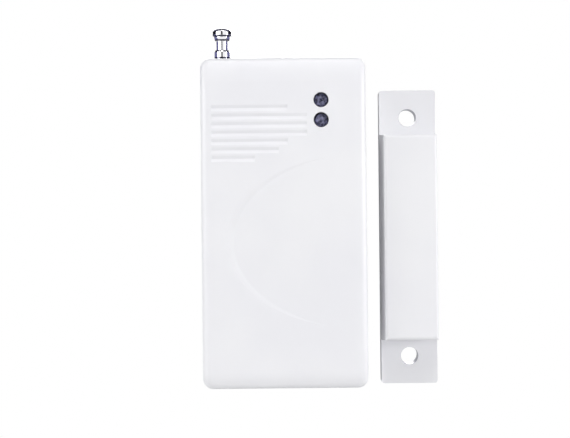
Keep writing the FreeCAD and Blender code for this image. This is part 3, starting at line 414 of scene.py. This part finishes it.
def make_knob_chrome():
    """Painted shade below the knob's crown and just above its foot."""
    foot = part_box("aerial_knob")[0][2]
    return make_chrome_with_painted_lines("knob_chrome", (foot + PAINTED_LINE_HALF, foot + KNOB_CONE_HEIGHT))


def make_base_chrome():
    """Painted shade at the base tube's lip, and just above the case that it stands in."""
    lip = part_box("aerial_base_tube")[1][2]
    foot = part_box("front_cover")[1][2] + FOOT_LINE
    return make_chrome_with_painted_lines("base_chrome", (lip, foot))


def make_plain(name, colour, roughness, metallic=0.0):
    """A material with a fine grain and a slight change of colour."""
    material = new_material(name, colour, roughness, metallic)
    noise = add_noise(material, PLAIN_GRAIN)
    darker = tuple(channel * PLAIN_DARK for channel in colour)
    vary_colour(material, noise, darker, colour)
    add_bump(material, noise, PLAIN_DEPTH, 0.6)
    return material


def make_board():
    """Green solder mask, lighter where copper tracks run below it."""
    material = new_material("board_green", (0.03, 0.16, 0.07), 0.35)
    place = add(material, "TexCoord")
    tracks = add(material, "TexVoronoi", Scale=0.4 / MM, feature="DISTANCE_TO_EDGE")
    join(material, place, "Object", tracks, "Vector")
    raised = vary_colour(material, tracks, (0.07, 0.3, 0.12), (0.02, 0.12, 0.05), 0.06, 0.09, "Distance")
    add_bump(material, raised, 0.02 * MM, 0.4, output="Color")
    return material


def make_glass():
    """Pale green glass of the reed switch, with slight waves."""
    material = new_material("reed_glass", (0.86, 0.95, 0.9), 0.02)
    shader = shader_of(material)
    shader.inputs["Transmission Weight"].default_value = 1.0
    shader.inputs["IOR"].default_value = 1.5
    add_bump(material, add_noise(material, 0.4), 0.01 * MM, 0.2)
    return material


def make_lamp_tint():
    """Smoky epoxy of a lamp that is off, with its lead frame showing through. Its colour is mottled at
    random, and the light patches are painted glints of the lead frame.
    """
    material = new_material("smoky_epoxy", (0.06, 0.06, 0.16), 0.05)
    shader = shader_of(material)
    shader.inputs["Transmission Weight"].default_value = 0.35
    shader.inputs["IOR"].default_value = 1.52
    shader.inputs["Specular IOR Level"].default_value = 0.25
    mottle_and_glints = add_noise(material, 1.5, 5.0)
    # Random mottling in the epoxy, whose light navy patches are painted glints
    vary_colour(material, mottle_and_glints, (0.003, 0.003, 0.025), (0.32, 0.32, 0.52))
    add_bump(material, mottle_and_glints, 0.12 * MM, 0.6)
    return material


transmitter_plastic = make_transmitter_plastic()
magnet_plastic = make_magnet_plastic()
chrome = make_chrome("chrome_plate")
knob_chrome = make_knob_chrome()
base_chrome = make_base_chrome()
contact_steel = make_plain("nickel_steel", (0.6, 0.6, 0.58), 0.3, 1.0)
brass = make_plain("spring_brass", (0.72, 0.56, 0.28), 0.3, 1.0)
solder = make_plain("tinned_wire", (0.66, 0.66, 0.65), 0.35, 1.0)
black_epoxy = make_plain("black_epoxy", (0.022, 0.022, 0.024), 0.55)
cap_plastic = make_plain("cap_plastic", (0.03, 0.03, 0.035), 0.4)
board_green = make_board()
battery_wrap = make_plain("battery_wrap", (0.02, 0.02, 0.022), 0.25)
magnet_dark = make_plain("ferrite", (0.05, 0.05, 0.055), 0.6)
copper = make_plain("enamelled_copper", (0.62, 0.27, 0.13), 0.22, 1.0)
sleeve = make_plain("capacitor_sleeve", (0.03, 0.045, 0.09), 0.3)
tan = make_plain("ceramic_tan", (0.42, 0.28, 0.15), 0.5)
reed_glass = make_glass()
lamp_tint = make_lamp_tint()

node_materials = {
    "circuit_board": board_green,
    "board_screws": contact_steel,
    "battery": battery_wrap,
    "battery_plate_positive": contact_steel,
    "battery_plate_negative": contact_steel,
    "battery_spring": contact_steel,
    "reed_switch_glass": reed_glass,
    "reed_switch_reeds": contact_steel,
    "upper_lamp_leads": solder,
    "lower_lamp_leads": solder,
    "upper_lamp_lens": lamp_tint,
    "lower_lamp_lens": lamp_tint,
    "coding_chip": black_epoxy,
    "coding_chip_legs": solder,
    "code_pin_base": black_epoxy,
    "code_pins": brass,
    "code_jumper_caps": cap_plastic,
    "resonator_can": contact_steel,
    "transistor": black_epoxy,
    "transistor_legs": solder,
    "electrolytic_capacitor": sleeve,
    "aerial_coil": copper,
    "chip_resistors": black_epoxy,
    "chip_capacitors": tan,
    "aerial_bracket": brass,
    "aerial_middle_grip": brass,
    "aerial_tip_grip": brass,
    "bar_magnet": magnet_dark,
    "front_cover": transmitter_plastic,
    "back_cover": transmitter_plastic,
    "magnet_housing": magnet_plastic,
    "magnet_back_plate": magnet_plastic,
    "aerial_base_tube": base_chrome,
    "aerial_middle_tube": chrome,
    "aerial_tip_rod": chrome,
    "aerial_knob": chrome,
}
for node, material in node_materials.items():
    give_material(frame["nodes"][node], material)


# Lamps of the transmitter


def face_forward(piece, node):
    """Lays a piece made along Z on the lamp's axis, its foot on the node's back."""
    piece.rotation_euler = (QUARTER, 0, 0)
    middle = middle_of(node)
    piece.location = (middle.x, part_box(node)[1][1], middle.z)
    settle(piece)


def make_lamp_lens(side):
    """A round-nosed epoxy body on its flange."""
    node = f"{side}_lamp_lens"
    low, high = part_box(node)
    flange = (high[0] - low[0]) / 2
    outline = [(flange, 0), (flange, LAMP_FLANGE), (LAMP_BARREL, LAMP_FLANGE)]
    shoulder = LAMP_LENGTH - LAMP_BARREL
    for step in range(DOME_STEPS):
        turn = QUARTER * step / DOME_STEPS
        outline.append((LAMP_BARREL * math.cos(turn), shoulder + LAMP_BARREL * math.sin(turn)))
    outline.append((TIP_SHARE * LAMP_BARREL, LAMP_LENGTH))
    lens = turn_outline(f"{side}_lamp_dome", outline)
    round_edges(lens, LAMP_EDGE, segments=3, angle=50)
    face_forward(lens, node)
    smooth(lens)
    give_material(lens, lamp_tint)
    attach(lens, "root")
    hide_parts(node)


def make_lead_post(across, top, head):
    """One post: a stem, a neck that leans inwards and widens, and a head with a cup sunk in it."""
    lean = -POST_LEAN * across
    deselect()
    bpy.ops.mesh.primitive_cube_add(size=2 * POST_HALF, location=(across, 0, POST_FOOT + POST_HALF))
    post = bpy.context.object
    settle(post)
    edit(post)
    select_faces(post, lambda face: face.normal.z > 0.5)
    extrude(0, 0, POST_STEM)
    extrude(lean, 0, POST_NECK)
    wide = head / POST_HALF
    bpy.ops.transform.resize(value=(wide, wide, 1), center_override=(across + lean, 0, 0))
    extrude(0, 0, top - POST_FOOT - 2 * POST_HALF - POST_STEM - POST_NECK)
    bpy.ops.mesh.inset(thickness=CUP_RIM * head, depth=-CUP_DEPTH * head)
    leave_edit()
    round_edges(post, POST_EDGE, segments=2, angle=40)
    return post


def make_lead_frame(side):
    """The two posts that show inside a lamp."""
    posts = [make_lead_post(across, top, head) for across, top, head in LEAD_HEADS]
    deselect()
    for post in posts:
        post.select_set(True)
    bpy.context.view_layer.objects.active = posts[0]
    bpy.ops.object.join()
    lead_frame = bpy.context.object
    lead_frame.name = f"{side}_lamp_frame"
    face_forward(lead_frame, f"{side}_lamp_lens")
    smooth(lead_frame)
    give_material(lead_frame, solder)
    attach(lead_frame, "root")


for side in ("upper", "lower"):
    make_lamp_lens(side)
    make_lead_frame(side)


# Knob of the aerial


def make_knob():
    """A turned knob: a bulged foot that widens from the rod, and a round crown that stands out."""
    low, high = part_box("aerial_knob")
    radius = (high[0] - low[0]) / 2
    tall = high[2] - low[2]
    outline = []
    for step in range(FOOT_STEPS + 1):
        turn = QUARTER * step / FOOT_STEPS
        bulge = KNOB_FOOT + (KNOB_CONE - KNOB_FOOT) * math.sin(turn)
        outline.append((bulge, KNOB_CONE_HEIGHT * (1 - math.cos(turn))))
    outline += [(radius - KNOB_RIM, KNOB_CONE_HEIGHT), (radius, KNOB_CONE_HEIGHT + KNOB_RIM)]
    for step in range(DOME_STEPS):
        turn = QUARTER * step / DOME_STEPS
        outline.append((radius * math.cos(turn), tall - KNOB_CROWN + KNOB_CROWN * math.sin(turn)))
    outline.append((TIP_SHARE * radius, tall))
    knob = turn_outline("aerial_knob_turned", outline)
    round_edges(knob, KNOB_EDGE, segments=2, angle=30)
    middle = middle_of("aerial_knob")
    knob.location = (middle.x, middle.y, low[2])
    settle(knob)
    smooth(knob)
    give_material(knob, knob_chrome)
    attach(knob, "aerial_tip")
    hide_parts("aerial_knob")


make_knob()


# Floor, light and camera


def add_card(name, place, towards, width, height, tint=(0, 0, 0)):
    """A card that only reflections see, of an even tint."""
    direction = (Vector(towards) - Vector(place)).normalized()
    bpy.ops.mesh.primitive_plane_add(size=1, location=place)
    card = bpy.context.object
    card.name = name
    card.rotation_euler = direction.to_track_quat("Z", "Y").to_euler()
    card.scale = (width, height, 1)
    settle(card)
    material = bpy.data.materials.new(name)
    material.use_nodes = True
    material.node_tree.nodes.clear()
    glow = add(material, "Emission", Color=(*tint, 1), Strength=1.0)
    end = add(material, "OutputMaterial")
    join(material, glow, "Emission", end, "Surface")
    give_material(card, material)
    card.visible_camera = False
    card.visible_diffuse = False
    card.visible_shadow = False
    card.visible_transmission = False


def see_white(tree):
    """1 for the rays that show the backdrop: to the camera, in a reflection, or through glass."""
    path = tree.nodes.new("ShaderNodeLightPath")
    seen = path.outputs["Is Camera Ray"]
    for ray in ("Is Glossy Ray", "Is Transmission Ray"):
        either = tree.nodes.new("ShaderNodeMath")
        either.operation = "MAXIMUM"
        tree.links.new(seen, either.inputs[0])
        tree.links.new(path.outputs[ray], either.inputs[1])
        seen = either.outputs["Value"]
    return seen


def add_floor():
    """A pale floor below the pair. It takes their shadow, and fades to white further out."""
    bpy.ops.mesh.primitive_plane_add(size=FLOOR_SIZE, location=(0, 0, FLOOR_LEVEL))
    floor = bpy.context.object
    floor.name = "floor"
    settle(floor)
    material = new_material("floor_white", FLOOR_COLOUR, 0.9)
    tree = material.node_tree
    place = add(material, "TexCoord")
    reach = add(material, "VectorMath", operation="LENGTH")
    join(material, place, "Object", reach, 0)
    fade = add(material, "MapRange", interpolation_type="SMOOTHSTEP")
    fade.inputs["From Min"].default_value = FLOOR_FADE_START
    fade.inputs["From Max"].default_value = FLOOR_FADE_END
    join(material, reach, "Value", fade, "Value")
    shown = add(material, "Math", operation="MULTIPLY")
    join(material, fade, "Result", shown, 0)
    tree.links.new(see_white(tree), shown.inputs[1])
    white = add(material, "Emission", Strength=1.0)
    mixed = add(material, "MixShader")
    join(material, shown, "Value", mixed, "Fac")
    join(material, shader_of(material), "BSDF", mixed, 1)
    join(material, white, "Emission", mixed, 2)
    join(material, mixed, "Shader", tree.nodes["Material Output"], "Surface")
    give_material(floor, material)


def add_world(tint, strength):
    """A faint sky that lights the object, shown as plain white."""
    world = bpy.data.worlds.new("studio")
    bpy.context.scene.world = world
    world.use_nodes = True
    air = world.node_tree
    air.nodes.clear()
    fill, white = (air.nodes.new("ShaderNodeBackground") for _ in range(2))
    fill.inputs["Color"].default_value = (*tint, 1)
    fill.inputs["Strength"].default_value = strength
    white.inputs["Color"].default_value = (1, 1, 1, 1)
    mixed = air.nodes.new("ShaderNodeMixShader")
    air.links.new(see_white(air), mixed.inputs["Fac"])
    air.links.new(fill.outputs["Background"], mixed.inputs[1])
    air.links.new(white.outputs["Background"], mixed.inputs[2])
    end = air.nodes.new("ShaderNodeOutputWorld")
    air.links.new(mixed.outputs["Shader"], end.inputs["Surface"])


def add_lamp(name, place, size, power):
    """A round lamp. The front lamp stays out of reflections, where it would wash out the dark bands."""
    data = bpy.data.lights.new(name, "AREA")
    data.shape = "DISK"
    data.size = size
    data.energy = power
    lamp = bpy.data.objects.new(name, data)
    bpy.context.scene.collection.objects.link(lamp)
    lamp.location = place
    lamp.rotation_euler = (LAMP_AIM - Vector(place)).to_track_quat("-Z", "Y").to_euler()
    lamp.visible_glossy = name != "front_lamp"


def add_camera():
    optics = bpy.data.cameras.new("camera")
    optics.sensor_width = SENSOR_WIDTH
    optics.lens = CAMERA_LENS
    camera = bpy.data.objects.new("camera", optics)
    bpy.context.scene.collection.objects.link(camera)
    camera.location = CAMERA_PLACE
    camera.rotation_euler = (QUARTER, CAMERA_ROLL, 0)
    bpy.context.scene.camera = camera


deselect()
add_floor()
for name, place, size, power in LAMPS:
    add_lamp(name, place, size, power)

# Cards beside, above and in front of the aerial draw the dark bands that polished chrome shows
aerial = middle_of("aerial_base_tube")
aerial.z = 0
for side in (-1, 1):
    for label, level, tall, reach, tint in AERIAL_CARDS:
        middle = aerial + Vector((side * CARD_ASIDE, (CARD_BEHIND - reach) / 2, level + tall / 2))
        inwards = middle + Vector((-side, 0, 0))
        add_card(f"{label}_card_{side + 1}", middle, inwards, CARD_BEHIND + reach, tall, tint)
ceiling = aerial + Vector((0, 0, CEILING_LEVEL))
add_card("ceiling_card", ceiling, ceiling + Vector((0, 0, -1)), CEILING_SIZE, CEILING_SIZE)
stand = Vector((aerial.x, -STAND_AHEAD, STAND_LEVEL))
add_card("stand_card", stand, stand + Vector((0, 1, 0)), STAND_WIDTH, STAND_HEIGHT)

# A dark card in the gap keeps the magnet's near wall from mirroring the backdrop
left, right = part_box("front_cover")[1][0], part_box("magnet_housing")[0][0]
gap = Vector(((left + right) / 2, GAP_CARD_BACK, 0))
add_card("gap_card", gap, gap + Vector((0, -1, 0)), right - left, GAP_CARD_HEIGHT)

add_world(SKY_TINT, SKY_LEVEL)
add_camera()
bpy.context.scene.view_settings.view_transform = "Standard"
